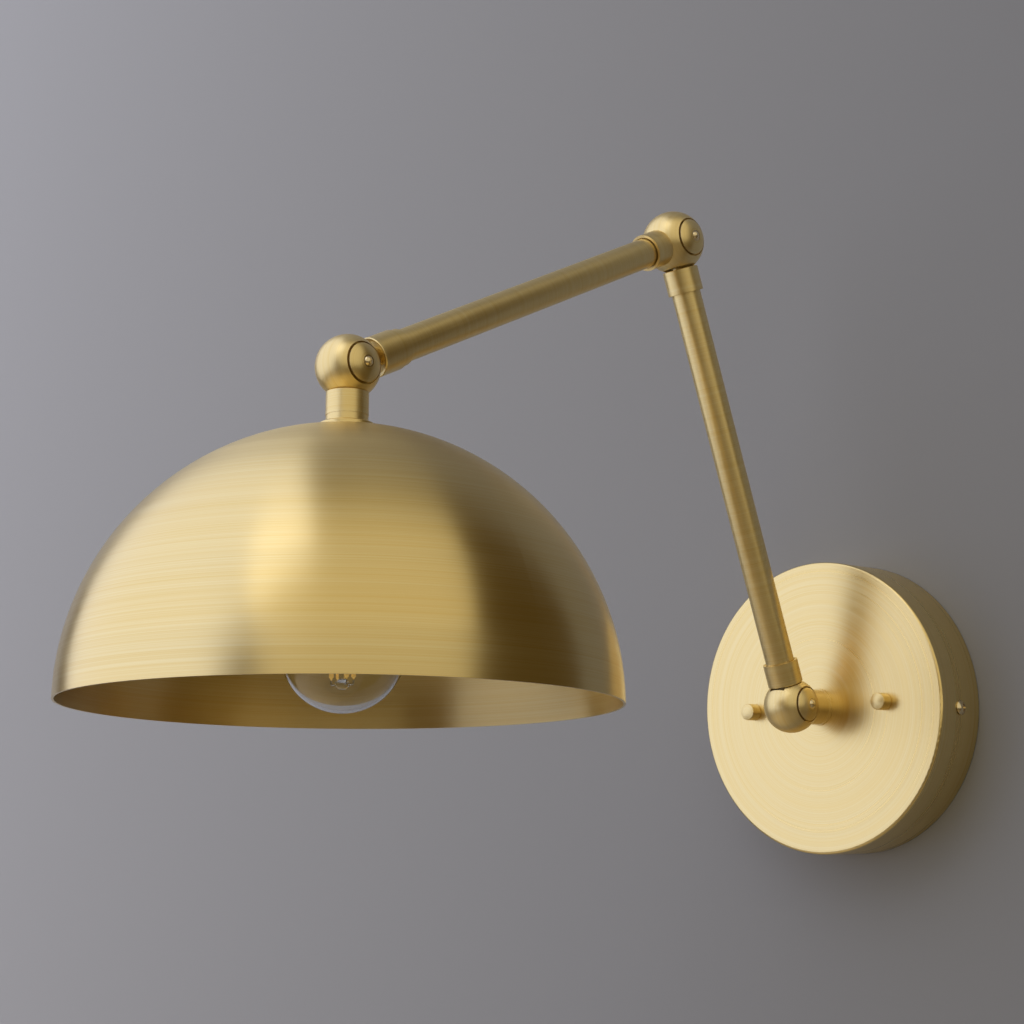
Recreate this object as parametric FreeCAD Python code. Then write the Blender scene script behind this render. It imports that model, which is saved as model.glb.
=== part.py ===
import FreeCAD, Part
import math
import os

os.makedirs("parts", exist_ok=True)
V = FreeCAD.Vector
X_AXIS = V(1, 0, 0)
Z_AXIS = V(0, 0, 1)

# Wall lamp with two folding arms, a half-ball shade and three ball knuckles.
# Millimetres. The origin is the middle of the canopy where it meets the wall.
# +Y runs into the wall, +X to the right, +Z up, so the lamp reaches out along -Y.

# Pivots and arms
KNUCKLE_OUT = 46.5        # wall to the base pivot
LOWER_ARM = 204.4         # base pivot to elbow pivot
UPPER_ARM = 197.1         # elbow pivot to shade pivot
LOWER_LEAN = 18.95        # lower arm leans out from upright, degrees
UPPER_DROP = 24.8         # upper arm drops below level, degrees
SHADE_TILT = 1.9          # shade opening turns out from straight down, degrees

# How far each pivot turns from the rest pose, about +X, degrees
BASE_RANGE = (-15.0, 18.0)
ELBOW_RANGE = (-90.0, 12.0)
SHADE_RANGE = (-25.0, 40.0)

# Canopy
CANOPY_R = 63.5
CANOPY_DEPTH = 27.6
CANOPY_WALL = 1.0
CANOPY_EDGE_R = 1.2
STUD_X = 35.0
STUD_R = 2.0
CAP_NUT_R = 3.65
CAP_NUT_LONG = 6.0
SIDE_SCREW_OUT = 14.0     # wall to side screw
SIDE_SCREW_Z = -4.0
SIDE_SCREW_R = 1.7

# Mounting strap behind the canopy
STRAP_T = 2.0
STRAP_HALF_W = 9.0
STRAP_HALF_L = 59.5
TAB_LONG = 19.0
BOX_SLOT_X = 44.45        # half of the 88.9 mm wall box screw spacing
BOX_SLOT_HALF_W = 2.4
BOX_SLOT_LONG = 12.0

# Ball knuckles; the elbow's is larger
BALL_R = 11.7
DRUM_R = 7.0
ELBOW_BALL_R = 13.0
ELBOW_DRUM_R = 7.4
STEM_R = 7.6
STEM_NECK_R = 7.0         # between the ball and the shoulder of its stem
STEM_SHOULDER = 9.5
DRUM_PLAY = 0.05
SEAM_W = 0.7              # width of the dark groove round the drum's face
SEAM_DEEP = 4.7
FAR_WALL = 3.8            # ball metal left behind the drum
FRICTION_T = 0.5
NECK_R = 3.5
SLOT_HALF_W = 3.8
SLOT_SPARE = 1.5          # degrees of slot past each end of the travel
NECK_END = 18.0
WIRE_BORE_R = 2.3
STEM_BORE_R = 2.6
SCREW_R = 1.45
SCREW_HOLE_R = 1.55
SCREW_SUNK = 0.7
SCREW_HEAD_R = 1.8
SCREW_HEAD_T = 1.2
SCREW_WASHER_R = 2.2
SCREW_WASHER_T = 0.4

# Collars and tubes
COLLAR_R = 7.5
COLLAR_BORE_R = 6.2
BASE_GAP = 0.35           # between a collar's hollow end and the ball
ELBOW_GAP = 0.75
SHADE_GAP = 2.4
COLLAR_CHAMFER = 0.45
WEB_START = 14.5
WEB_END = 16.5
TUBE_R = 6.15
TUBE_BORE_R = 5.2
BASE_COLLAR_END = 19.5
ELBOW_COLLAR_END = 22.0
SHADE_COLLAR_END = 26.6
SHADE_COLLAR_STEP = 23.0
SHADE_COLLAR_STEP_R = 6.95
ELBOW_SOCKET_START = 14.0
ELBOW_SOCKET_END = 20.0
ELBOW_MOUTH_R = 6.6
ELBOW_MOUTH_DEEP = 1.6

# Threaded tubes (M10) and their nuts
NIPPLE_R = 5.0
NIPPLE_BORE_R = 3.6
HEX_FLATS = 14.0
HEX_T = 3.0
LOCK_WASHER_R = 8.0
LOCK_WASHER_T = 0.7

# Shade, measured down its axis from the shade pivot
SHADE_R = 96.7
SHADE_WALL = 0.8
RIM_DOWN = 119.2
SHADE_FLAT_R = 10.0
STEM_END = 17.7
SPACER_R = 7.4
SPACER_T = 0.6
RING_R = 7.5
RING_T = 1.9
FLANGE_R = 10.0
SHADE_TOP = RIM_DOWN - math.sqrt(SHADE_R ** 2 - SHADE_FLAT_R ** 2)

# Lamp holder and globe bulb (45 mm class globe, 26 mm screw cap)
HOLDER_R = 16.5
HOLDER_WALL = 1.8
HOLDER_TOP = SHADE_TOP + SHADE_WALL + LOCK_WASHER_T + HEX_T
HOLDER_END = 64.7
CORE_R = 14.2
CORE_T = 3.0
SHELL_R = 13.9
SHELL_BORE_R = 13.5
BULB_CAP_R = 13.1
BULB_CAP_START = 40.2
BULB_CAP_END = 63.2
BULB_R = 21.8
BULB_CENTRE = 100.2
SHOULDER_ANGLE = 42.0
BULB_NECK_R = 12.2
GLASS_T = 0.8
THREAD_PITCH = 3.6
FILAMENT_CIRCLE_R = 4.4
FILAMENT_R = 0.8
FILAMENT_TOP = 82.7
FILAMENT_BOTTOM = 110.7
GLASS_TIP = 113.7
GLASS_TIP_R = 2.4
GLASS_ROD_R = 1.3

WIRE_R = 0.85
WIRE_X = 1.15

# Turns about +X that carry a local +Z onto each direction
BASE_STEM_TURN = -90.0
LOWER_TURN = LOWER_LEAN
UPPER_TURN = 90.0 + UPPER_DROP
SHADE_TURN = 180.0 - SHADE_TILT


def along(turn, distance):
    """Step from a pivot along the local +Z of a turned frame."""
    angle = math.radians(turn)
    return V(0, -math.sin(angle) * distance, math.cos(angle) * distance)


class Knuckle:
    """Sizes of one ball knuckle, along its pivot axis from the ball's centre."""

    def __init__(self, ball_r, drum_r):
        self.ball_r = ball_r
        self.drum_r = drum_r
        self.seam_r = drum_r + SEAM_W
        self.seam_start = ball_r - SEAM_DEEP
        self.floor = FAR_WALL - ball_r
        self.seat = ball_r - SCREW_SUNK


SMALL = Knuckle(BALL_R, DRUM_R)
LARGE = Knuckle(ELBOW_BALL_R, ELBOW_DRUM_R)
BASE_PIVOT = V(0, -KNUCKLE_OUT, 0)
ELBOW_PIVOT = BASE_PIVOT + along(LOWER_TURN, LOWER_ARM)
SHADE_PIVOT = ELBOW_PIVOT + along(UPPER_TURN, UPPER_ARM)


def rod(radius, start, end, axis=Z_AXIS, centre=V(0, 0, 0)):
    """Solid cylinder along an axis, from start to end."""
    return Part.makeCylinder(radius, end - start, centre + axis * start, axis)


def ring(outer, inner, start, end, axis=Z_AXIS, centre=V(0, 0, 0)):
    """Cylinder with a hole right through it."""
    body = rod(outer, start, end, axis, centre)
    return body.cut(rod(inner, start - 1, end + 1, axis, centre))


def block(x0, x1, y0, y1, z0, z1):
    """Box between two corners."""
    return Part.makeBox(x1 - x0, y1 - y0, z1 - z0, V(x0, y0, z0))


def revolve(points):
    """Solid of revolution about Z from a closed outline of (radius, height)."""
    corners = [V(r, 0, z) for r, z in points]
    wire = Part.makePolygon(corners + [corners[0]])
    return Part.Face(wire).revolve(V(0, 0, 0), Z_AXIS, 360)


def hex_nut(flats, bore, start, end, axis=Z_AXIS, centre=V(0, 0, 0)):
    """Six-sided nut with slightly rounded corners."""
    corner = flats / math.sqrt(3)
    points = []
    for k in range(7):
        angle = math.radians(60 * k)
        points.append(V(corner * math.cos(angle), corner * math.sin(angle), 0))
    prism = Part.Face(Part.makePolygon(points)).extrude(V(0, 0, end - start))
    prism = prism.common(Part.makeCylinder(corner * 0.96, end - start))
    prism = prism.cut(Part.makeCylinder(bore, end - start + 2, V(0, 0, -1)))
    prism.Placement = FreeCAD.Placement(centre + axis * start, FreeCAD.Rotation(Z_AXIS, axis))
    return prism


def place(shape, pivot, turn):
    """Turn a knuckle-frame shape about X and carry it to its pivot."""
    moved = shape.copy()
    moved.rotate(V(0, 0, 0), X_AXIS, turn)
    moved.translate(pivot)
    return moved


def group(shapes):
    return Part.makeCompound(shapes)


def save(name, shape):
    shape.exportStep(os.path.join("parts", name + ".step"))


# Ball knuckles: each ball has a stem along +Z, and the pivot axis is X

def slot_sweep(low, high):
    """Space that a drum's neck sweeps, between two angles from the stem."""
    reach = ELBOW_BALL_R + 3
    low = low - SLOT_SPARE
    high = high + SLOT_SPARE
    wedge = Part.makeCylinder(reach, 2 * SLOT_HALF_W, V(-SLOT_HALF_W, 0, 0), X_AXIS, high - low)
    edge = wedge.CenterOfMass
    middle = math.degrees(math.atan2(-edge.y, edge.z))
    wedge.rotate(V(0, 0, 0), X_AXIS, (low + high) / 2 - middle)
    ends = []
    for angle in (low, high):
        end = block(-SLOT_HALF_W, SLOT_HALF_W, -SLOT_HALF_W, SLOT_HALF_W, 0, reach)
        end.rotate(V(0, 0, 0), X_AXIS, angle)
        ends.append(end)
    return wedge.fuse(ends)


def knuckle_ball(size, stem, slot_low, slot_high):
    """Ball with its stem, drum bore, seam relief, neck slot and tapped screw hole."""
    outside = size.ball_r + 1
    ball = Part.makeSphere(size.ball_r).fuse([rod(STEM_NECK_R, 0, STEM_SHOULDER), stem])
    ball = ball.cut(rod(size.drum_r + DRUM_PLAY, size.floor, outside, X_AXIS))
    ball = ball.cut(rod(size.seam_r, size.seam_start, outside, X_AXIS))
    ball = ball.cut(slot_sweep(slot_low, slot_high))
    ball = ball.cut(rod(STEM_BORE_R, 0, STEM_END + 10))
    return ball.cut(rod(SCREW_R, 1.2 - size.ball_r, 0, X_AXIS))


def pivot_drum(size):
    """Drum that turns in the ball, with the hollow neck that carries an arm."""
    back = size.floor + FRICTION_T + DRUM_PLAY
    drum = rod(size.drum_r, back, size.ball_r + 1, X_AXIS)
    drum = drum.common(Part.makeSphere(size.ball_r))
    neck = rod(NECK_R, 0, NECK_END)
    pocket = ring(5.0, 2.9, -4.5, 4.5, X_AXIS)
    drum = drum.fuse(neck).cut(pocket)
    drum = drum.cut(rod(WIRE_BORE_R, 4.0, NECK_END + 1))
    drum = drum.cut(rod(SCREW_HOLE_R, -size.ball_r, size.ball_r + 1, X_AXIS))
    return drum.cut(rod(SCREW_WASHER_R + 0.1, size.seat, size.ball_r + 1, X_AXIS))


def collar(size, gap, end):
    """Collar with a hollow round end next to the ball and a socket for the tube."""
    gap_r = size.ball_r + gap
    start = math.sqrt(gap_r ** 2 - COLLAR_R ** 2)
    cone = Part.makeCone(COLLAR_R - COLLAR_CHAMFER, COLLAR_R, COLLAR_CHAMFER, V(0, 0, start))
    body = cone.fuse(rod(COLLAR_R, start + COLLAR_CHAMFER, end))
    body = body.cut(Part.makeSphere(gap_r))
    body = body.cut(rod(COLLAR_BORE_R, 0, WEB_START))
    body = body.cut(rod(COLLAR_BORE_R, WEB_END, end + 1))
    body = body.cut(rod(NECK_R, 0, end))
    rim = Part.makeCone(TUBE_R, COLLAR_R, 0.6, V(0, 0, end - 0.35))
    return body.cut(rim.common(rod(TUBE_R + 0.5, end - 1, end + 1)))


def friction_washer(size):
    """Fibre disc that the drum rubs on."""
    end = size.floor + FRICTION_T
    return ring(size.drum_r - 0.3, SCREW_HOLE_R + 0.1, size.floor, end, X_AXIS)


def pivot_screw(size):
    """Slotted round-head screw, clamped through the drum into the far wall."""
    seat = size.seat + SCREW_WASHER_T
    head = rod(SCREW_HEAD_R, seat, seat + SCREW_HEAD_T, X_AXIS)
    dome_r = 2.0
    head = head.common(Part.makeSphere(dome_r, V(seat + SCREW_HEAD_T - dome_r, 0, 0)))
    head = head.cut(block(seat + 0.8, seat + 3, -0.22, 0.22, -3, 3))
    return head.fuse(rod(SCREW_R, 1.3 - size.ball_r, seat, X_AXIS))


def screw_washer(size):
    start = size.seat + 0.02
    return ring(SCREW_WASHER_R, SCREW_HOLE_R, start, size.seat + SCREW_WASHER_T, X_AXIS)


def wire_pair(start, end):
    wires = []
    for side in (-1, 1):
        wires.append(rod(WIRE_R, start, end, centre=V(side * WIRE_X, 0, 0)))
    return group(wires)


def make_knuckle(name, size, ball, pivot, turn):
    """Ball of a knuckle with the small parts that stay in it."""
    save(name + "_knuckle_ball", place(ball, pivot, turn))
    save(name + "_friction_washer", place(friction_washer(size), pivot, turn))
    save(name + "_pivot_screw", place(pivot_screw(size), pivot, turn))
    save(name + "_screw_washer", place(screw_washer(size), pivot, turn))


# Canopy and what stands behind it; OUT points away from the wall

OUT = V(0, -1, 0)


def canopy():
    cup = rod(CANOPY_R, 0, CANOPY_DEPTH, OUT)
    front = [e for e in cup.Edges if abs(e.BoundBox.YMin + CANOPY_DEPTH) < 0.01
             and abs(e.BoundBox.YMax + CANOPY_DEPTH) < 0.01]
    cup = cup.makeFillet(CANOPY_EDGE_R, front)
    cup = cup.cut(rod(CANOPY_R - CANOPY_WALL, -1, CANOPY_DEPTH - CANOPY_WALL, OUT))
    cup = cup.cut(rod(NIPPLE_R + 0.2, 0, CANOPY_DEPTH + 1, OUT))
    for side in (-1, 1):
        cup = cup.cut(rod(STUD_R + 0.3, 0, CANOPY_DEPTH + 1, OUT, V(side * STUD_X, 0, 0)))
        hole = rod(SIDE_SCREW_R + 0.2, 50, 70, V(side, 0, 0), V(0, -SIDE_SCREW_OUT, SIDE_SCREW_Z))
        cup = cup.cut(hole)
    return cup


def mounting_strap():
    w, t = STRAP_HALF_W, STRAP_T
    strap = block(-STRAP_HALF_L, STRAP_HALF_L, -t, 0, -w, w)
    for side in (-1, 1):
        inner = side * STRAP_HALF_L
        outer = side * (STRAP_HALF_L + t)
        tab = block(min(inner, outer), max(inner, outer), -TAB_LONG, 0, -w + 1, w - 1)
        strap = strap.fuse(tab)
        half = BOX_SLOT_LONG / 2 - BOX_SLOT_HALF_W
        slot = block(side * BOX_SLOT_X - half, side * BOX_SLOT_X + half, -t - 1, 1,
                     -BOX_SLOT_HALF_W, BOX_SLOT_HALF_W)
        for end in (-half, half):
            centre = V(side * BOX_SLOT_X + end, 0, 0)
            slot = slot.fuse(rod(BOX_SLOT_HALF_W, -1, t + 1, OUT, centre))
        strap = strap.cut(slot)
        strap = strap.cut(rod(STUD_R, -1, t + 1, OUT, V(side * STUD_X, 0, 0)))
        hole = rod(SIDE_SCREW_R - 0.2, 50, 70, V(side, 0, 0), V(0, -SIDE_SCREW_OUT, SIDE_SCREW_Z))
        strap = strap.cut(hole)
    strap = strap.cut(rod(5.5, -1, t + 1, OUT))
    return strap.cut(rod(2.0, -1, t + 1, OUT, V(18, 0, 0)))


def cap_nut(side):
    centre = V(side * STUD_X, 0, 0)
    end = CANOPY_DEPTH + CAP_NUT_LONG
    nut = rod(CAP_NUT_R, CANOPY_DEPTH, end, OUT, centre)
    dome = Part.makeSphere(9.0, centre + OUT * (end - 9.0))
    return nut.common(dome).cut(rod(STUD_R, CANOPY_DEPTH - 1, end - 2, OUT, centre))


def side_screw(side):
    """Cross-recess pan-head screw through the canopy side into the strap tab."""
    axis = V(side, 0, 0)
    centre = V(0, -SIDE_SCREW_OUT, SIDE_SCREW_Z)
    seat = CANOPY_R
    head = rod(3.1, seat, seat + 1.7, axis, centre)
    head = head.common(Part.makeSphere(4.2, centre + axis * (seat + 1.7 - 4.2)))
    for z_half, y_half in ((1.6, 0.35), (0.35, 1.6)):
        x_far = side * (seat + 3)
        x_near = side * (seat + 0.7)
        cross = block(min(x_far, x_near), max(x_far, x_near), centre.y - y_half,
                      centre.y + y_half, centre.z - z_half, centre.z + z_half)
        head = head.cut(cross)
    return head.fuse(rod(SIDE_SCREW_R - 0.2, STRAP_HALF_L - 2, seat, axis, centre))


def bent_wire(points, radius):
    """Round wire through a list of points, with ball corners."""
    wire = None
    for a, b in zip(points, points[1:]):
        run = b - a
        piece = Part.makeCylinder(radius, run.Length, a, run)
        wire = piece if wire is None else wire.fuse([piece, Part.makeSphere(radius, a)])
    return wire


def base_parts():
    inner_face = CANOPY_DEPTH - CANOPY_WALL
    save("canopy", canopy())
    save("mounting_strap", mounting_strap())
    pair = (-1, 1)
    stud_end = CANOPY_DEPTH + CAP_NUT_LONG - 2.5
    save("strap_studs", group([rod(STUD_R, 0, stud_end, OUT, V(s * STUD_X, 0, 0)) for s in pair]))
    nuts = [hex_nut(7.0, STUD_R, STRAP_T, STRAP_T + 3.2, OUT, V(s * STUD_X, 0, 0)) for s in pair]
    save("stud_lock_nuts", group(nuts))
    save("canopy_cap_nuts", group([cap_nut(s) for s in pair]))
    save("canopy_side_screws", group([side_screw(s) for s in pair]))
    save("canopy_nipple", ring(NIPPLE_R, NIPPLE_BORE_R, 15, CANOPY_DEPTH + 9, OUT))
    washer_end = inner_face - LOCK_WASHER_T
    save("canopy_lock_washer", ring(LOCK_WASHER_R, NIPPLE_R, washer_end, inner_face, OUT))
    save("canopy_hex_nut", hex_nut(HEX_FLATS, NIPPLE_R, washer_end - HEX_T, washer_end, OUT))
    save("base_stem_washer", ring(STEM_R + 0.5, NIPPLE_R, CANOPY_DEPTH, CANOPY_DEPTH + 0.9, OUT))
    terminal = block(-29, -13, -12, -STRAP_T, -7, 7)
    for z in (-3, 3):
        terminal = terminal.cut(rod(1.5, -31, -11, X_AXIS, V(0, -7, z)))
        terminal = terminal.cut(rod(1.6, 7, 13, OUT, V(-21, 0, z)))
    save("terminal_block", terminal)
    leads = []
    for side, z in ((-1, -3), (1, 3)):
        start = V(side * WIRE_X, -36, 0)
        turn = V(side * WIRE_X, -15 + side, 0)
        points = [start, turn, V(-8, -7, z), V(-17, -7, z)]
        leads.append(bent_wire(points, WIRE_R))
    save("supply_leads", group(leads))
    ground = rod(3.4, STRAP_T, STRAP_T + 2.2, OUT, V(18, 0, 0))
    ground = ground.cut(block(14, 22, -STRAP_T - 3, -STRAP_T - 1.3, -0.5, 0.5))
    save("ground_screw", ground.fuse(rod(2.0, 0, STRAP_T, OUT, V(18, 0, 0))))
    points = [V(0, -30, 2.4), V(0, -14.5, 2.4), V(8, -7, 4.2), V(18, -STRAP_T - 0.9, 4.2)]
    save("ground_lead", bent_wire(points, 0.7))


def base_ball():
    stem_end = KNUCKLE_OUT - CANOPY_DEPTH - 0.9
    stem = rod(STEM_R, STEM_SHOULDER, stem_end)
    neck_rest = LOWER_TURN - BASE_STEM_TURN
    ball = knuckle_ball(SMALL, stem, neck_rest + BASE_RANGE[0], neck_rest + BASE_RANGE[1])
    return ball.cut(rod(NIPPLE_R, KNUCKLE_OUT - CANOPY_DEPTH - 9, stem_end + 1))


def lower_arm_parts():
    pivot, turn = BASE_PIVOT, LOWER_TURN
    save("base_pivot_drum", place(pivot_drum(SMALL), pivot, turn))
    save("lower_arm_base_collar", place(collar(SMALL, BASE_GAP, BASE_COLLAR_END), pivot, turn))
    tube = ring(TUBE_R, TUBE_BORE_R, WEB_END, LOWER_ARM - WEB_END)
    save("lower_arm_tube", place(tube, pivot, turn))
    save("lower_arm_wires", place(wire_pair(9.0, LOWER_ARM - 9.0), pivot, turn))
    top_collar = collar(LARGE, ELBOW_GAP, ELBOW_COLLAR_END)
    save("lower_arm_elbow_collar", place(top_collar, ELBOW_PIVOT, turn + 180))
    save("elbow_pivot_drum", place(pivot_drum(LARGE), ELBOW_PIVOT, turn + 180))


def elbow_ball():
    stem = rod(STEM_R, 0, ELBOW_SOCKET_END)
    neck_rest = LOWER_TURN + 180 - UPPER_TURN
    ball = knuckle_ball(LARGE, stem, neck_rest - ELBOW_RANGE[1], neck_rest - ELBOW_RANGE[0])
    ball = ball.cut(rod(COLLAR_BORE_R, ELBOW_SOCKET_START, ELBOW_SOCKET_END + 1))
    mouth = rod(ELBOW_MOUTH_R, ELBOW_SOCKET_END - ELBOW_MOUTH_DEEP, ELBOW_SOCKET_END + 1)
    return ball.cut(mouth)


def upper_arm_parts():
    pivot, turn = ELBOW_PIVOT, UPPER_TURN
    make_knuckle("elbow", LARGE, elbow_ball(), pivot, turn)
    tube = ring(TUBE_R, TUBE_BORE_R, ELBOW_SOCKET_START, UPPER_ARM - WEB_END)
    save("upper_arm_tube", place(tube, pivot, turn))
    save("upper_arm_wires", place(wire_pair(9.0, UPPER_ARM - 9.0), pivot, turn))
    stepped = collar(SMALL, SHADE_GAP, SHADE_COLLAR_END)
    step = ring(COLLAR_R + 1, SHADE_COLLAR_STEP_R, SHADE_COLLAR_STEP, SHADE_COLLAR_END + 1)
    save("upper_arm_shade_collar", place(stepped.cut(step), SHADE_PIVOT, turn + 180))
    save("shade_pivot_drum", place(pivot_drum(SMALL), SHADE_PIVOT, turn + 180))


# Shade and bulb, in the frame of the shade knuckle with +Z down the shade's axis

def shade_ball():
    stem = rod(STEM_R, STEM_SHOULDER, STEM_END)
    neck_rest = UPPER_TURN + 180 - SHADE_TURN
    ball = knuckle_ball(SMALL, stem, neck_rest - SHADE_RANGE[1], neck_rest - SHADE_RANGE[0])
    return ball.cut(rod(NIPPLE_R, 10.5, STEM_END + 1))


def shade_dome():
    """Half ball with a small flat top, a hole for the nipple and a plain open rim."""
    inner_r = SHADE_R - SHADE_WALL
    shell = Part.makeSphere(SHADE_R, V(0, 0, RIM_DOWN)).cut(Part.makeSphere(inner_r, V(0, 0, RIM_DOWN)))
    big = 2 * SHADE_R
    shell = shell.cut(Part.makeBox(2 * big, 2 * big, big, V(-big, -big, RIM_DOWN)))
    shell = shell.cut(Part.makeBox(big, big, 5, V(-big / 2, -big / 2, SHADE_TOP - 5)))
    flat = rod(SHADE_FLAT_R + 0.05, SHADE_TOP, SHADE_TOP + SHADE_WALL)
    shell = shell.fuse(flat).removeSplitter()
    return shell.cut(rod(NIPPLE_R + 0.1, 0, 60))


def flange_washer():
    top = STEM_END + SPACER_T + RING_T
    outline = [(NIPPLE_R, top), (RING_R, top), (FLANGE_R - 0.8, top + 0.3)]
    outline += [(FLANGE_R, top + 0.8), (FLANGE_R, SHADE_TOP), (NIPPLE_R, SHADE_TOP)]
    return revolve(outline)


def holder_cap():
    top = HOLDER_TOP
    outline = [(NIPPLE_R, top), (9.0, top), (HOLDER_R - 2, top + 3), (HOLDER_R, top + 6)]
    outline += [(HOLDER_R, HOLDER_END), (HOLDER_R - HOLDER_WALL, HOLDER_END)]
    outline += [(HOLDER_R - HOLDER_WALL, top + 7), (HOLDER_R - 4, top + 5), (9.0, top + 3)]
    outline += [(NIPPLE_R, top + 3)]
    return revolve(outline)


def bulb_cap():
    """Screw cap of the bulb, drawn as plain rounded ridges."""
    ridge = 0.45
    outline = [(4.0, BULB_CAP_START), (9.0, BULB_CAP_START), (BULB_CAP_R - ridge, BULB_CAP_START + 2.5)]
    z = BULB_CAP_START + 2.5
    while z + THREAD_PITCH < BULB_CAP_END - 3:
        outline.append((BULB_CAP_R, z + THREAD_PITCH / 2))
        outline.append((BULB_CAP_R - ridge, z + THREAD_PITCH))
        z += THREAD_PITCH
    outline += [(BULB_CAP_R - ridge, BULB_CAP_END), (BULB_NECK_R + 0.1, BULB_CAP_END)]
    outline += [(BULB_NECK_R + 0.1, BULB_CAP_START + 4), (4.0, BULB_CAP_START + 4)]
    return revolve(outline)


def on_globe(radius, angle):
    """Point on the globe's outline, at an angle from straight up."""
    a = math.radians(angle)
    return V(radius * math.sin(a), 0, BULB_CENTRE - radius * math.cos(a))


def glass_side(radius, neck_r, top):
    """Outline of the glass: straight neck, swept shoulder, then the round globe."""
    neck_end = V(neck_r, 0, BULB_CAP_END + 3)
    shoulder = on_globe(radius, SHOULDER_ANGLE)
    a = math.radians(SHOULDER_ANGLE)
    lead_in = shoulder - V(math.cos(a), 0, math.sin(a)) * 3
    sweep = Part.BezierCurve()
    sweep.setPoles([neck_end, neck_end + V(0, 0, 8), lead_in, shoulder])
    middle = on_globe(radius, (SHOULDER_ANGLE + 180) / 2)
    globe = Part.Arc(shoulder, middle, on_globe(radius, 180))
    return [Part.makeLine(V(neck_r, 0, top), neck_end), sweep.toShape(), globe.toShape()]


def bulb_glass():
    top = BULB_CAP_END - 12
    inner_r = BULB_R - GLASS_T
    inner_neck_r = BULB_NECK_R - GLASS_T
    sides = glass_side(BULB_R, BULB_NECK_R, top) + glass_side(inner_r, inner_neck_r, top)
    low = Part.makeLine(on_globe(BULB_R, 180), on_globe(inner_r, 180))
    high = Part.makeLine(V(BULB_NECK_R, 0, top), V(inner_neck_r, 0, top))
    wire = Part.Wire(Part.__sortEdges__(sides + [low, high]))
    return Part.Face(wire).revolve(V(0, 0, 0), Z_AXIS, 360)


def bulb_stem():
    """Pressed glass flare and rod inside the globe, with its round tip."""
    top = BULB_CAP_END - 12
    outline = [(0, top), (BULB_NECK_R - GLASS_T, top), (BULB_NECK_R - GLASS_T, top + 1)]
    outline += [(6.0, top + 5), (3.4, top + 14), (GLASS_ROD_R, top + 20)]
    outline += [(GLASS_ROD_R, GLASS_TIP - 3.4), (GLASS_TIP_R, GLASS_TIP - 2.2)]
    outline += [(GLASS_TIP_R, GLASS_TIP - 0.9)]
    outline += [(1.4, GLASS_TIP), (0, GLASS_TIP)]
    return revolve(outline)


def bulb_filaments():
    sticks = []
    supports = []
    for angle in (20, 160, 200, 340):
        a = math.radians(angle)
        foot = V(FILAMENT_CIRCLE_R * math.cos(a), FILAMENT_CIRCLE_R * math.sin(a), 0)
        sticks.append(rod(FILAMENT_R, FILAMENT_TOP, FILAMENT_BOTTOM, centre=foot))
        for z in (FILAMENT_TOP - 1.5, FILAMENT_BOTTOM):
            supports.append(rod(0.3, z, z + 1.5, centre=foot))
            spoke = V(foot.x, foot.y, 0)
            level = z if z < FILAMENT_TOP else z + 1.5
            core_gap = GLASS_ROD_R + 0.1 if z < FILAMENT_TOP else GLASS_TIP_R + 0.1
            start = V(foot.x, foot.y, level)
            reach = Part.makeCylinder(0.3, FILAMENT_CIRCLE_R - core_gap, start, V(0, 0, 0) - spoke)
            supports.append(reach)
    merged = []
    for k in range(0, len(supports), 2):
        merged.append(supports[k].fuse(supports[k + 1]))
    return group(sticks), group(merged)


def shade_parts():
    pivot, turn = SHADE_PIVOT, SHADE_TURN

    def put(name, shape):
        save(name, place(shape, pivot, turn))

    make_knuckle("shade", SMALL, shade_ball(), pivot, turn)
    put("stem_spacer", ring(SPACER_R, NIPPLE_R, STEM_END, STEM_END + SPACER_T))
    put("stem_ring", ring(RING_R, NIPPLE_R, STEM_END + SPACER_T, STEM_END + SPACER_T + RING_T))
    put("shade_flange_washer", flange_washer())
    put("shade_dome", shade_dome())
    under = SHADE_TOP + SHADE_WALL
    put("shade_lock_washer", ring(LOCK_WASHER_R, NIPPLE_R, under, under + LOCK_WASHER_T))
    put("shade_hex_nut", hex_nut(HEX_FLATS, NIPPLE_R, under + LOCK_WASHER_T, HOLDER_TOP))
    put("shade_nipple", ring(NIPPLE_R, NIPPLE_BORE_R, 10.5, HOLDER_TOP + 3))
    put("shade_wires", wire_pair(9.0, HOLDER_TOP + 4.5))
    put("lamp_holder_cap", holder_cap())
    core_top = HOLDER_TOP + 7.2
    core_end = core_top + CORE_T
    core = rod(CORE_R, core_top, core_end).cut(rod(1.6, 0, 60))
    put("lamp_holder_core", core)
    put("lamp_holder_shell", ring(SHELL_R, SHELL_BORE_R, core_end, BULB_CAP_END - 2))
    contact = rod(3.2, core_end, core_end + 0.6).fuse(rod(1.5, core_top, core_end))
    put("lamp_holder_contact", contact)
    put("bulb_cap", bulb_cap())
    put("bulb_cap_insulator", revolve([(2.2, BULB_CAP_START - 0.9), (6.0, BULB_CAP_START - 0.2),
                                       (8.0, BULB_CAP_START), (4.0, BULB_CAP_START),
                                       (4.0, BULB_CAP_START + 3), (2.2, BULB_CAP_START + 3)]))
    put("bulb_contact", rod(2.2, BULB_CAP_START - 1.6, BULB_CAP_START + 2))
    put("bulb_glass", bulb_glass())
    put("bulb_stem", bulb_stem())
    sticks, supports = bulb_filaments()
    put("bulb_filaments", sticks)
    put("bulb_filament_supports", supports)


base_parts()
make_knuckle("base", SMALL, base_ball(), BASE_PIVOT, BASE_STEM_TURN)
lower_arm_parts()
upper_arm_parts()
shade_parts()
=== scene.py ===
import math

import bpy
from mathutils import Euler, Matrix, Vector


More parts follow.
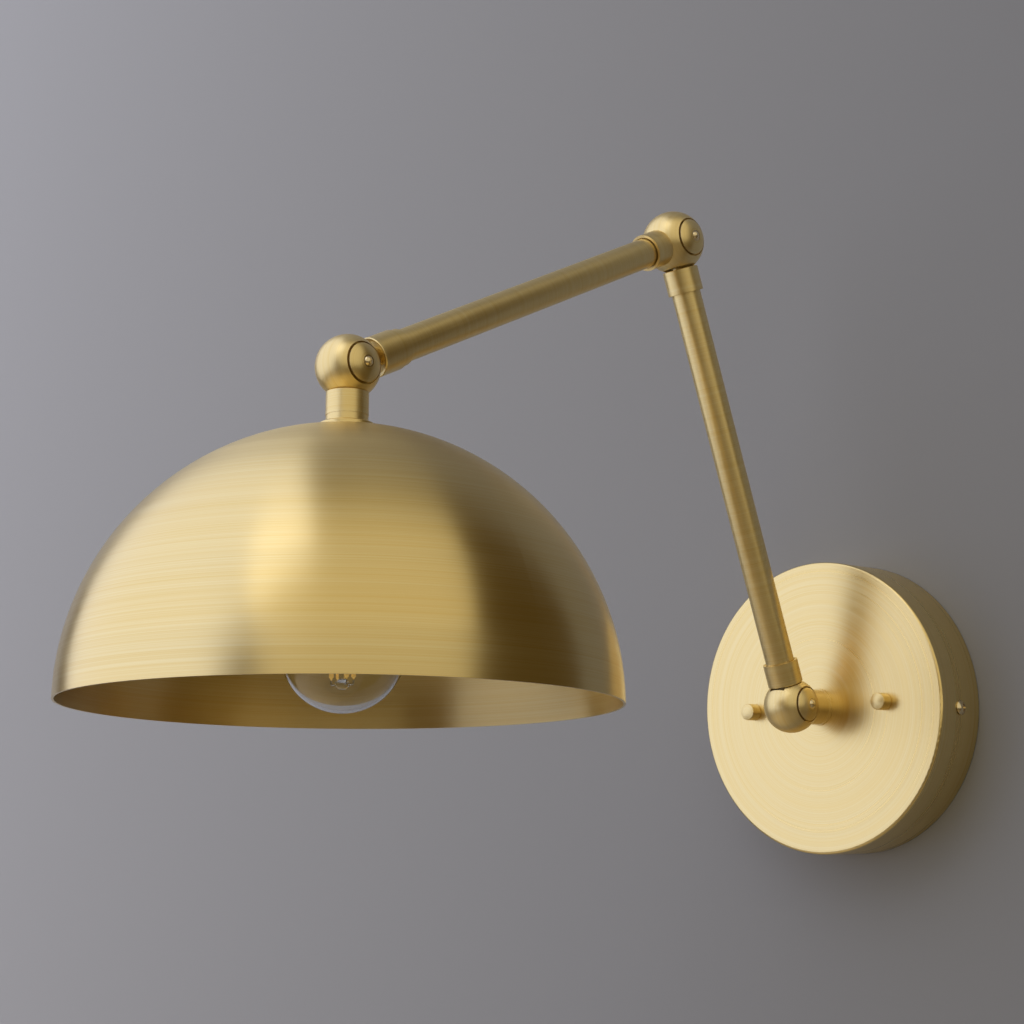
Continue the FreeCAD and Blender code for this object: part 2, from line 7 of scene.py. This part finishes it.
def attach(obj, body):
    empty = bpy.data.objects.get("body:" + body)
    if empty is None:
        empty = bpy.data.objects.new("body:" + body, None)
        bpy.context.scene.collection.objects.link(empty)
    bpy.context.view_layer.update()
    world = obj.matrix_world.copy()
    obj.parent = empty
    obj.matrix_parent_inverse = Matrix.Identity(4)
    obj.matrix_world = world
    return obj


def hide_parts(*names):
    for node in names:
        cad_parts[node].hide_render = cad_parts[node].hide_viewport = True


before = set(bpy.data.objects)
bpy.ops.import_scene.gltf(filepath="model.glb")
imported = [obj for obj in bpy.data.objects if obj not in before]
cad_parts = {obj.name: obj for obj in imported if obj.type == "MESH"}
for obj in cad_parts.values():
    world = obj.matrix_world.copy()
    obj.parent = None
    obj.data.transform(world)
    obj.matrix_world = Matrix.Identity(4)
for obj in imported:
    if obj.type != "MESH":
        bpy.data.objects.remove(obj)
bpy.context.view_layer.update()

# Wall lamp: round canopy, two folding tube arms on ball knuckles, half-ball shade, globe bulb.
# Metres, in the frame of the CAD model: the wall is the plane y = 0 and the room is at -y.
# A size that is given in millimetres is multiplied by MM where it is used.

MM = 0.001

# Places and sizes that the CAD model gives, in millimetres and degrees
KNUCKLE_OUT = 46.5
LOWER_ARM = 204.4
UPPER_ARM = 197.1
LOWER_TURN = 18.95
UPPER_TURN = 114.8
SHADE_TURN = 178.1
RIM_DOWN = 119.2
SHADE_R = 96.7
BALL_R = 11.7
ELBOW_BALL_R = 13.0
CANOPY_R = 63.5
CANOPY_DEPTH = 27.6
STUD_X = 35.0


def along(turn, distance):
    """A step in metres along the +Z of a frame that is turned about X."""
    angle = math.radians(turn)
    return Vector((0, -math.sin(angle), math.cos(angle))) * distance * MM


BASE_PIVOT = Vector((0, -KNUCKLE_OUT * MM, 0))
ELBOW_PIVOT = BASE_PIVOT + along(LOWER_TURN, LOWER_ARM)
SHADE_PIVOT = ELBOW_PIVOT + along(UPPER_TURN, UPPER_ARM)

# Frames that the finishes follow: a point, and the turn about X that carries +Z along the piece
BASE_FRAME = (BASE_PIVOT, -90.0)
LOWER_FRAME = (BASE_PIVOT, LOWER_TURN)
UPPER_FRAME = (ELBOW_PIVOT, UPPER_TURN)
SHADE_FRAME = (SHADE_PIVOT, SHADE_TURN)
CANOPY_FRAME = (Vector((0, 0, 0)), 90.0)


# Shader maths ---------------------------------------------------------------

class Value:
    """A socket that takes part in Python arithmetic."""

    def __init__(self, tree, socket):
        self.tree = tree
        self.socket = socket

    def math(self, operation, *others, swap=False):
        node = self.tree.nodes.new("ShaderNodeMath")
        node.operation = operation
        values = list(reversed((self,) + others)) if swap else (self,) + others
        for place, value in zip(node.inputs, values):
            plug(self.tree, place, value)
        return Value(self.tree, node.outputs[0])

    def __add__(self, other):
        return self.math("ADD", other)

    def __sub__(self, other):
        return self.math("SUBTRACT", other)

    def __rsub__(self, other):
        return self.math("SUBTRACT", other, swap=True)

    def __mul__(self, other):
        return self.math("MULTIPLY", other)

    __radd__ = __add__
    __rmul__ = __mul__


def plug(tree, place, value):
    """Links a Value to a socket, or sets the socket to a plain number, vector or colour."""
    if isinstance(value, Value):
        tree.links.new(value.socket, place)
    else:
        place.default_value = value


def mean(a, b):
    return a * 0.5 + b * 0.5


def blend(share, a, b):
    """Value a where share is 1, and b where it is 0."""
    return a * share + b * (1.0 - share)


# The Mix node has sockets of the same name for each kind of value: these are its colours
MIX_FIRST, MIX_SECOND, MIX_RESULT = 6, 7, 2


class Finish:
    """A material under construction."""

    def __init__(self, name):
        self.material = bpy.data.materials.new(name)
        self.material.use_nodes = True
        self.tree = self.material.node_tree
        self.tree.nodes.clear()
        self.out = self.tree.nodes.new("ShaderNodeOutputMaterial")

    def node(self, kind, settings=None, inputs=None, output=0):
        """Adds a node, makes its settings, fills its sockets and gives one of its outputs."""
        node = self.tree.nodes.new(kind)
        for key, value in (settings or {}).items():
            setattr(node, key, value)
        for key, value in (inputs or {}).items():
            plug(self.tree, node.inputs[key], value)
        return Value(self.tree, node.outputs[output])

    def spot(self):
        """Object coordinates, in metres."""
        return self.node("ShaderNodeTexCoord", output="Object")

    def place(self, frame_of):
        """Object coordinates carried into a piece's own frame, in metres."""
        pivot, turn = frame_of
        back = Euler((math.radians(-turn), 0, 0))
        shift = -(back.to_matrix() @ pivot)
        return self.node("ShaderNodeMapping", {}, {"Vector": self.spot(), "Location": shift,
                                                   "Rotation": back})

    def split(self, vector):
        """The three parts of a vector."""
        first = self.node("ShaderNodeSeparateXYZ", {}, {"Vector": vector})
        return [Value(self.tree, socket) for socket in first.socket.node.outputs]

    def join(self, x, y, z):
        return self.node("ShaderNodeCombineXYZ", {}, {"X": x, "Y": y, "Z": z})

    def length(self, vector):
        return self.node("ShaderNodeVectorMath", {"operation": "LENGTH"}, {0: vector}, output="Value")

    def noise(self, vector, scale=1.0, detail=2.0, rough=0.5):
        return self.node("ShaderNodeTexNoise", {}, {"Vector": vector, "Scale": scale,
                                                    "Detail": detail, "Roughness": rough})

    def span(self, value, old, new):
        """Carries a value from one span to another, held at its ends."""
        limits = {"From Min": old[0], "From Max": old[1], "To Min": new[0], "To Max": new[1]}
        return self.node("ShaderNodeMapRange", {}, {"Value": value, **limits})

    def mix(self, factor, a, b):
        return self.node("ShaderNodeMix", {"data_type": "RGBA"},
                         {0: factor, MIX_FIRST: a, MIX_SECOND: b}, output=MIX_RESULT)

    def bump(self, height, strength, distance):
        return self.node("ShaderNodeBump", {}, {"Height": height, "Strength": strength,
                                                "Distance": distance})

    def surface(self, **inputs):
        """Ends the material in one Principled shader."""
        names = {key.replace("_", " "): value for key, value in inputs.items()}
        shader = self.node("ShaderNodeBsdfPrincipled", {}, names)
        self.tree.links.new(shader.socket, self.out.inputs[0])
        return self.material


def colour(r, g, b):
    """An opaque colour, in linear light."""
    return (r, g, b, 1.0)


# Finishes -------------------------------------------------------------------

BRASS = colour(0.855, 0.705, 0.365)
BRASS_DEEP = colour(0.785, 0.590, 0.235)
LINES = 2400.0                  # fine scratch lines to the metre
BROAD_LINES = 480.0
ACROSS = 3.0                    # how slowly scratches change along their own length
SCRATCH_DEPTH = 0.00004         # of the bump, in metres
SCRATCH_VALUES = (0.36, 0.64)   # scratch values that carry the deep brass to the light one
NOISE_VALUES = (0.35, 0.65)     # where most values of a noise lie
FULL = (0.0, 1.0)
FINE_SHARE = 0.6                # of the fine lines in the brass tone, beside the broad ones
BRASS_UNEVEN = 0.03             # how far roughness varies to each side
QUARTER_TURN = 0.25             # turns the stretched highlight across the scratches
STAINS = 60.0                   # scale of soft stains on tubes and balls
DISC_STAINS = 500.0


def edge(radius, inside, outside):
    """The span in metres, round a radius in mm, where one brushing gives way to another."""
    return ((radius + inside) * MM, (radius + outside) * MM)


BALL_EDGE = edge(BALL_R, 0.2, 0.4)
ELBOW_EDGE = edge(ELBOW_BALL_R, 0.2, 0.4)
CANOPY_EDGE = edge(CANOPY_R, -1.2, -0.4)


def brass(f, fine, broad, stains, roughness, strength, stretch=0.0):
    """Brushed brass from a fine scratch pattern, a broad one and soft stains."""
    tone = f.span(fine * FINE_SHARE + broad * (1 - FINE_SHARE), SCRATCH_VALUES, FULL)
    base = f.mix(tone, BRASS_DEEP, BRASS)
    rough = f.span(mean(broad, stains), NOISE_VALUES,
                   (roughness - BRASS_UNEVEN, roughness + BRASS_UNEVEN))
    normal = f.bump(fine, strength, SCRATCH_DEPTH)
    return f.surface(Base_Color=base, Metallic=1.0, Roughness=rough, Normal=normal, Anisotropic=stretch,
                     Anisotropic_Rotation=QUARTER_TURN)


def scratches(f, a, b, repeat):
    """Fine and broad lines that repeat along one coordinate and run long across the other two."""
    fine = f.noise(f.join(a * ACROSS, b * ACROSS, repeat * LINES), detail=3.0, rough=0.6)
    broad = f.noise(f.join(a * ACROSS, b * ACROSS, repeat * BROAD_LINES))
    return fine, broad


def turned_tube(name, frame_of):
    """Brass brushed round its own axis."""
    f = Finish(name)
    spot = f.place(frame_of)
    x, y, z = f.split(spot)
    fine, broad = scratches(f, x, y, z)
    return brass(f, fine, broad, f.noise(spot, STAINS, detail=3.0), roughness=0.36, strength=0.22)


def turned_ball(name, frame_of, ball_edge):
    """Knuckle: the ball is brushed round the pivot axis, the stem round its own."""
    f = Finish(name)
    spot = f.place(frame_of)
    x, y, z = f.split(spot)
    on_ball = f.span(f.length(spot), ball_edge, (1.0, 0.0))
    ball_fine, ball_broad = scratches(f, y, z, x)
    stem_fine, stem_broad = scratches(f, x, y, z)
    fine = blend(on_ball, ball_fine, stem_fine)
    broad = blend(on_ball, ball_broad, stem_broad)
    return brass(f, fine, broad, f.noise(spot, STAINS, detail=3.0), roughness=0.38, strength=0.22)


def turned_disc(name, frame_of):
    """Drum face: circles about the pivot axis."""
    f = Finish(name)
    spot = f.place(frame_of)
    x, y, z = f.split(spot)
    fine, broad = scratches(f, y, z, f.length(f.join(0.0, y, z)))
    return brass(f, fine, broad, f.noise(spot, DISC_STAINS, detail=3.0), roughness=0.36, strength=0.3)


SOFT_BANDS = 60.0               # soft bands to the metre, down the shade's curve
SOFT_ACROSS = 2.0


def spun_dome(name):
    """Shade: rings round its axis, evenly spaced down the curve, inside and outside."""
    f = Finish(name)
    x, y, z = f.split(f.place(SHADE_FRAME))
    level = z - RIM_DOWN * MM
    radius = f.length(f.join(x, y, 0.0))
    arc = radius.math("ARCTAN2", level * -1.0) * (SHADE_R * MM)
    fine, broad = scratches(f, x, y, arc)
    soft = f.noise(f.join(x * SOFT_ACROSS, y * SOFT_ACROSS, arc * SOFT_BANDS))
    return brass(f, fine, mean(broad, soft), soft, roughness=0.33, strength=0.2, stretch=0.8)


def spun_face(name):
    """Canopy: the face is brushed in circles about its middle, the side round its rim."""
    f = Finish(name)
    x, y, z = f.split(f.place(CANOPY_FRAME))
    radius = f.length(f.join(x, y, 0.0))
    on_side = f.span(radius, CANOPY_EDGE, FULL)
    face_fine, face_broad = scratches(f, x, y, radius)
    side_fine, side_broad = scratches(f, x, y, z)
    fine = blend(on_side, side_fine, face_fine)
    broad = blend(on_side, side_broad, face_broad)
    return brass(f, fine, broad, broad, roughness=0.30, strength=0.3)


DARK_SHARE = 0.82               # how dark the darker grain is, beside the tint
BLOTCH_SIZE = 14.0              # blotches are this much larger than the grain
GRAIN_SHARE = 0.4               # of the grain in the tone, beside the blotches
UNEVEN = 0.05                   # how far roughness varies to each side
SMOOTHEST = 0.02                # but never below this


def speckled(name, tint, roughness, metallic=0.0, grain=900.0, depth=0.2, **extra):
    """Plain moulded, plated or enamelled surface with a fine grain and faint unevenness."""
    f = Finish(name)
    spot = f.spot()
    fine = f.noise(spot, grain, detail=3.0)
    broad = f.noise(spot, grain / BLOTCH_SIZE)
    dark = colour(*[c * DARK_SHARE for c in tint[:3]])
    tone = f.span(fine * GRAIN_SHARE + broad * (1 - GRAIN_SHARE), NOISE_VALUES, FULL)
    base = f.mix(tone, dark, tint)
    rough = f.span(broad, NOISE_VALUES, (max(roughness - UNEVEN, SMOOTHEST), roughness + UNEVEN))
    normal = f.bump(fine, depth, SCRATCH_DEPTH)
    return f.surface(Base_Color=base, Metallic=metallic, Roughness=rough, Normal=normal, **extra)


GLASS_TINT = colour(0.97, 0.985, 0.985)
GLASS_IOR = 1.47
RIPPLES = 40.0                  # scale of the faint ripple in blown glass
RIPPLE_STRENGTH = 0.08
RIPPLE_DEPTH = 0.0005           # of the bump, in metres
RIPPLE_VALUES = (0.3, 0.7)
GLASS_ROUGHNESS = (0.0, 0.012)


def clear_glass(name):
    """Blown glass, almost even."""
    f = Finish(name)
    ripple = f.noise(f.spot(), RIPPLES, detail=1.0)
    normal = f.bump(ripple, RIPPLE_STRENGTH, RIPPLE_DEPTH)
    rough = f.span(ripple, RIPPLE_VALUES, GLASS_ROUGHNESS)
    return f.surface(Base_Color=GLASS_TINT, Roughness=rough, IOR=GLASS_IOR, Transmission_Weight=1.0,
                     Normal=normal)


SHADE_BRASS = spun_dome("shade spun brass")
CANOPY_BRASS = spun_face("canopy spun brass")
LOWER_TUBE = turned_tube("lower arm brass", LOWER_FRAME)
UPPER_TUBE = turned_tube("upper arm brass", UPPER_FRAME)
BASE_RINGS = turned_tube("base turned brass", BASE_FRAME)
SHADE_RINGS = turned_tube("shade turned brass", SHADE_FRAME)
BASE_BALL = turned_ball("base knuckle brass", BASE_FRAME, BALL_EDGE)
ELBOW_BALL = turned_ball("elbow knuckle brass", UPPER_FRAME, ELBOW_EDGE)
SHADE_BALL = turned_ball("shade knuckle brass", SHADE_FRAME, BALL_EDGE)
BASE_DISC = turned_disc("base drum brass", BASE_FRAME)
ELBOW_DISC = turned_disc("elbow drum brass", UPPER_FRAME)
SHADE_DISC = turned_disc("shade drum brass", SHADE_FRAME)
METAL = 1.0
SCREW_BRASS = speckled("screw brass", colour(0.86, 0.72, 0.45), 0.24, METAL, grain=1600.0)
PLATED_STEEL = speckled("plated steel", colour(0.62, 0.60, 0.56), 0.28, METAL)
THREADED_STEEL = speckled("threaded steel", colour(0.50, 0.47, 0.40), 0.36, METAL)
ZINC_STRAP = speckled("zinc strap", colour(0.56, 0.57, 0.58), 0.42, METAL, grain=300.0, depth=0.4)
FIBRE = speckled("fibre washer", colour(0.05, 0.03, 0.02), 0.75)
TERMINAL = speckled("terminal plastic", colour(0.72, 0.71, 0.66), 0.5)
SLEEVE = speckled("wire sleeve", colour(0.02, 0.02, 0.02), 0.55)
GREEN_SCREW = speckled("green earth screw", colour(0.02, 0.14, 0.04), 0.35, metallic=0.6)
COPPER = speckled("bare copper", colour(0.75, 0.33, 0.20), 0.32, METAL)
HOLDER = speckled("holder plastic", colour(0.018, 0.016, 0.015), 0.45)
CERAMIC = speckled("holder ceramic", colour(0.78, 0.76, 0.70), 0.2)
NICKEL = speckled("nickel shell", colour(0.70, 0.68, 0.63), 0.25, METAL)
BLACK_GLASS = speckled("black glass", colour(0.01, 0.01, 0.012), 0.08)
SOLDER = speckled("solder", colour(0.55, 0.55, 0.55), 0.4, METAL)
# amber phosphor coating; its emission is a painted glow, since the bulb is off
PHOSPHOR_AND_PAINTED_GLOW = colour(0.95, 0.58, 0.13)
FILAMENT = speckled("filament phosphor", PHOSPHOR_AND_PAINTED_GLOW, 0.6, grain=2500.0, Emission_Color=PHOSPHOR_AND_PAINTED_GLOW,
                    Emission_Strength=0.3)
GLASS = clear_glass("clear bulb glass")

FINISH_OF = {
    "canopy": CANOPY_BRASS, "mounting_strap": ZINC_STRAP, "strap_studs": PLATED_STEEL,
    "stud_lock_nuts": PLATED_STEEL, "canopy_cap_nuts": BASE_RINGS, "canopy_side_screws": SCREW_BRASS,
    "canopy_nipple": THREADED_STEEL, "canopy_lock_washer": PLATED_STEEL,
    "canopy_hex_nut": THREADED_STEEL, "base_stem_washer": BASE_RINGS, "terminal_block": TERMINAL,
    "supply_leads": SLEEVE, "ground_screw": GREEN_SCREW, "ground_lead": COPPER,
    "base_knuckle_ball": BASE_BALL, "base_friction_washer": FIBRE, "base_pivot_screw": SCREW_BRASS,
    "base_screw_washer": SCREW_BRASS, "base_pivot_drum": BASE_DISC, "lower_arm_base_collar": LOWER_TUBE,
    "lower_arm_tube": LOWER_TUBE, "lower_arm_wires": SLEEVE, "lower_arm_elbow_collar": LOWER_TUBE,
    "elbow_pivot_drum": ELBOW_DISC, "elbow_knuckle_ball": ELBOW_BALL, "elbow_friction_washer": FIBRE,
    "elbow_pivot_screw": SCREW_BRASS, "elbow_screw_washer": SCREW_BRASS, "upper_arm_tube": UPPER_TUBE,
    "upper_arm_wires": SLEEVE, "upper_arm_shade_collar": UPPER_TUBE, "shade_pivot_drum": SHADE_DISC,
    "shade_knuckle_ball": SHADE_BALL, "shade_friction_washer": FIBRE,
    "shade_pivot_screw": SCREW_BRASS, "shade_screw_washer": SCREW_BRASS, "stem_spacer": SHADE_RINGS,
    "stem_ring": SHADE_RINGS, "shade_flange_washer": SHADE_RINGS, "shade_dome": SHADE_BRASS,
    "shade_lock_washer": PLATED_STEEL, "shade_hex_nut": THREADED_STEEL, "shade_nipple": THREADED_STEEL,
    "shade_wires": SLEEVE, "lamp_holder_cap": HOLDER, "lamp_holder_core": CERAMIC,
    "lamp_holder_shell": NICKEL, "lamp_holder_contact": COPPER, "bulb_cap": NICKEL,
    "bulb_cap_insulator": BLACK_GLASS, "bulb_contact": SOLDER, "bulb_glass": GLASS, "bulb_stem": GLASS,
    "bulb_filaments": FILAMENT, "bulb_filament_supports": PLATED_STEEL,
}

for name, finish in FINISH_OF.items():
    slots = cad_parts[name].data.materials
    for k in range(len(slots)):
        slots[k] = finish


# Pieces that repeat: the copies come from one small geometry tree --------------------

SHARP_ANGLE = 28.0              # an edge bent by more degrees than this shows as a sharp edge


def lathe(name, profile, sides):
    """Closed mesh turned about +Z from (radius, height) points in mm, both ends on the axis."""
    verts, rings, faces = [], [], []
    for radius, height in profile:
        first = len(verts)
        count = sides if radius > 0 else 1
        for k in range(count):
            angle = 2 * math.pi * k / sides
            verts.append((radius * MM * math.cos(angle), radius * MM * math.sin(angle), height * MM))
        rings.append([first + k % count for k in range(sides + 1)])
    for low, high in zip(rings, rings[1:]):
        for k in range(sides):
            ring = [low[k], low[k + 1], high[k + 1], high[k]]
            faces.append(list(dict.fromkeys(ring)))
    mesh = bpy.data.meshes.new(name)
    mesh.from_pydata(verts, [], faces)
    for face in mesh.polygons:
        face.use_smooth = True
    mesh.set_sharp_from_angle(angle=math.radians(SHARP_ANGLE))
    return mesh


def copies_tree():
    """Geometry tree: one copy of a piece on every point, turned to the point's facing."""
    tree = bpy.data.node_groups.new("copies on points", "GeometryNodeTree")
    for label, kind in (("Points", "Geometry"), ("Piece", "Object"), ("Finish", "Material")):
        tree.interface.new_socket(label, in_out="INPUT", socket_type="NodeSocket" + kind)
    tree.interface.new_socket("Pieces", in_out="OUTPUT", socket_type="NodeSocketGeometry")
    start, end = tree.nodes.new("NodeGroupInput"), tree.nodes.new("NodeGroupOutput")
    piece = tree.nodes.new("GeometryNodeObjectInfo")
    facing = tree.nodes.new("GeometryNodeInputNamedAttribute")
    facing.data_type = "FLOAT_VECTOR"
    facing.inputs["Name"].default_value = "facing"
    turn = tree.nodes.new("FunctionNodeAlignRotationToVector")
    turn.axis = "Z"
    spread = tree.nodes.new("GeometryNodeInstanceOnPoints")
    real = tree.nodes.new("GeometryNodeRealizeInstances")
    paint = tree.nodes.new("GeometryNodeSetMaterial")
    found = [socket for socket in facing.outputs if socket.enabled and socket.name == "Attribute"]
    for source, target in ((start.outputs["Piece"], piece.inputs["Object"]),
                           (found[0], turn.inputs["Vector"]),
                           (start.outputs["Points"], spread.inputs["Points"]),
                           (piece.outputs["Geometry"], spread.inputs["Instance"]),
                           (turn.outputs[0], spread.inputs["Rotation"]),
                           (spread.outputs[0], real.inputs[0]),
                           (real.outputs[0], paint.inputs["Geometry"]),
                           (start.outputs["Finish"], paint.inputs["Material"]),
                           (paint.outputs[0], end.inputs[0])):
        tree.links.new(source, target)
    return tree


COPIES = copies_tree()


def copies(node, body, shape, spots, facing, finish):
    """Replaces a CAD node with copies of a shape at some places, as one plain mesh."""
    points = bpy.data.meshes.new(node + " points")
    points.from_pydata(spots, [], [])
    held = points.attributes.new("facing", "FLOAT_VECTOR", "POINT")
    for entry in held.data:
        entry.vector = facing
    sample = bpy.data.objects.new(node + " sample", shape)
    host = bpy.data.objects.new(node + "_copies", points)
    bpy.context.scene.collection.objects.link(host)
    modifier = host.modifiers.new("copies", "NODES")
    modifier.node_group = COPIES
    sockets = {item.name: item.identifier for item in COPIES.interface.items_tree}
    modifier[sockets["Piece"]] = sample
    modifier[sockets["Finish"]] = finish
    graph = bpy.context.evaluated_depsgraph_get()
    mesh = bpy.data.meshes.new_from_object(host.evaluated_get(graph), preserve_all_data_layers=True,
                                           depsgraph=graph)
    host.modifiers.clear()
    host.data = mesh
    bpy.data.objects.remove(sample)
    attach(host, body)
    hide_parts(node)


# Half outline of a cap nut as (radius, height) in mm: chamfered foot, straight side, low crown
CAP_NUT = [(0, 0.05), (3.4, 0.05), (3.64, 0.3), (3.64, 4.9), (3.56, 5.2), (3.35, 5.42),
           (2.9, 5.53), (1.9, 5.75), (1.0, 5.9), (0, 5.96)]
CAP_NUT_SIDES = 64
INTO_ROOM = (0, -1, 0)
nut_spots = [(side * STUD_X * MM, -CANOPY_DEPTH * MM, 0) for side in (-1, 1)]
copies("canopy_cap_nuts", "base", lathe("cap nut", CAP_NUT, CAP_NUT_SIDES), nut_spots,
       INTO_ROOM, BASE_RINGS)

# Filaments: sticks beside the bulb's axis, in mm and degrees in the shade knuckle's frame
FILAMENT_CIRCLE_R = 4.4
FILAMENT_R = 0.8
FILAMENT_TOP = 82.7
FILAMENT_BOTTOM = 110.7
FILAMENT_ANGLES = (20, 160, 200, 340)
FILAMENT_SIDES = 20
FILAMENT_STEPS = 24
FILAMENT_WAVES = 4
FILAMENT_SWELL = 0.04


def filament_outline():
    """A thin stick with pointed ends, swelling a little where the coating is thick."""
    length = FILAMENT_BOTTOM - FILAMENT_TOP
    points = [(0, 0)]
    for k in range(1, FILAMENT_STEPS):
        share = k / FILAMENT_STEPS
        swell = 1 - FILAMENT_SWELL + FILAMENT_SWELL * math.cos(share * FILAMENT_WAVES * 2 * math.pi)
        points.append((FILAMENT_R * swell, share * length))
    points.append((0, length))
    return points


def filament_top(angle):
    """The upper end of one filament, carried from the shade knuckle's frame to the model's."""
    around = math.radians(angle)
    top = Vector((FILAMENT_CIRCLE_R * math.cos(around), FILAMENT_CIRCLE_R * math.sin(around),
                  FILAMENT_TOP))
    turn = Euler((math.radians(SHADE_TURN), 0, 0)).to_matrix()
    return SHADE_PIVOT + turn @ top * MM


DOWN_THE_BULB = along(SHADE_TURN, 1 / MM)
copies("bulb_filaments", "shade",
       lathe("filament", filament_outline(), FILAMENT_SIDES),
       [filament_top(angle) for angle in FILAMENT_ANGLES], DOWN_THE_BULB, FILAMENT)


# Room: wall, floor, light and camera ------------------------------------------

WALL_GREY = colour(0.45, 0.45, 0.45)
FLOOR_PALE = colour(0.80, 0.68, 0.48)
PAINTED_SHADE_SPAN = (-0.75, 0.12)            # along X, where painted shade darkens the paint from full to far
PAINTED_SHADE_SHARE = 0.60                # of its colour that the painted shade leaves there
WALL_Y = 0.0004
WALL_HALF = 3.0
WALL_RIGHT = 0.20               # the wall ends here, just outside the picture
FLOOR_Z = -1.2
FLOOR_DEPTH = 6.0


def one_sided(name, tint):
    """Plain matte paint, seen only from its front, with painted shade that darkens it away from the
    window.
    """
    f = Finish(name)
    x, y, z = f.split(f.spot())
    far = colour(*[c * PAINTED_SHADE_SHARE for c in tint[:3]])
    # painted shade: the paint darkens along X, away from the window light
    paint = f.mix(f.span(x, PAINTED_SHADE_SPAN, FULL), tint, far)
    matte = f.node("ShaderNodeBsdfDiffuse", {}, {"Color": paint})
    clear = f.node("ShaderNodeBsdfTransparent")
    behind = f.node("ShaderNodeNewGeometry", output="Backfacing")
    both = f.node("ShaderNodeMixShader", {}, {0: behind, 1: matte, 2: clear})
    f.tree.links.new(both.socket, f.out.inputs[0])
    return f.material


def plain_sheet(name, corners, finish):
    mesh = bpy.data.meshes.new(name)
    mesh.from_pydata(corners, [], [(0, 1, 2, 3)])
    sheet = bpy.data.objects.new(name, mesh)
    bpy.context.scene.collection.objects.link(sheet)
    mesh.materials.append(finish)


# wall and floor both carry painted shade that darkens them along X
plain_sheet("wall", [(-WALL_HALF, WALL_Y, FLOOR_Z), (WALL_RIGHT, WALL_Y, FLOOR_Z),
                     (WALL_RIGHT, WALL_Y, WALL_HALF), (-WALL_HALF, WALL_Y, WALL_HALF)],
            one_sided("wall paint", WALL_GREY))
plain_sheet("floor", [(-WALL_HALF, -FLOOR_DEPTH, FLOOR_Z), (WALL_HALF, -FLOOR_DEPTH, FLOOR_Z),
                      (WALL_HALF, WALL_Y, FLOOR_Z), (-WALL_HALF, WALL_Y, FLOOR_Z)],
            one_sided("floor paint", FLOOR_PALE))


def soft_light(name, place, aim, size, power, tint):
    """A wide rectangular panel that faces a point."""
    lamp = bpy.data.lights.new(name, "AREA")
    lamp.shape = "RECTANGLE"
    lamp.size, lamp.size_y = size
    lamp.energy = power
    lamp.color = tint
    panel = bpy.data.objects.new(name, lamp)
    bpy.context.scene.collection.objects.link(panel)
    panel.location = place
    toward = Vector(aim) - Vector(place)
    panel.rotation_euler = toward.to_track_quat("-Z", "Y").to_euler()


soft_light("window left", place=(-0.96, -1.44, 1.15), aim=(0, -0.29, 0.3), size=(3.8, 4.2), power=51.0,
           tint=(0.95, 1.01, 1.26))
soft_light("room front", place=(1.58, -1.17, 1.80), aim=(0, -0.29, 0.85), size=(4.3, 4.8), power=40.0,
           tint=(1.0, 0.93, 0.74))

WORLD_TINT = colour(0.62, 0.42, 0.14)
WORLD_STRENGTH = 0.12
world = bpy.data.worlds.new("studio")
bpy.context.scene.world = world
world.use_nodes = True
glow = world.node_tree.nodes["Background"]
glow.inputs["Color"].default_value = WORLD_TINT
glow.inputs["Strength"].default_value = WORLD_STRENGTH

CAMERA_PLACE = Vector((517.6, -722.3, -58.4)) * MM
CAMERA_YAW = 45.42              # degrees, to the left of straight at the wall
CAMERA_PITCH = 9.80
CAMERA_ROLL = -1.31
CAMERA_LENS = 68.75
FILM_WIDTH = 36.0
NEAREST = 0.05


def make_camera():
    yaw, pitch, roll = (math.radians(a) for a in (CAMERA_YAW, CAMERA_PITCH, CAMERA_ROLL))
    forward = Vector((-math.sin(yaw) * math.cos(pitch), math.cos(yaw) * math.cos(pitch),
                      math.sin(pitch)))
    level = Vector((math.cos(yaw), math.sin(yaw), 0))
    upright = level.cross(forward)
    right = level * math.cos(roll) + upright * math.sin(roll)
    up = upright * math.cos(roll) - level * math.sin(roll)
    data = bpy.data.cameras.new("camera")
    data.lens = CAMERA_LENS
    data.sensor_width = FILM_WIDTH
    data.clip_start = NEAREST
    camera = bpy.data.objects.new("camera", data)
    bpy.context.scene.collection.objects.link(camera)
    turn = Matrix((right, up, -forward)).transposed()
    camera.matrix_world = Matrix.Translation(CAMERA_PLACE) @ turn.to_4x4()
    bpy.context.scene.camera = camera


make_camera()
bpy.context.scene.view_settings.view_transform = "Standard"
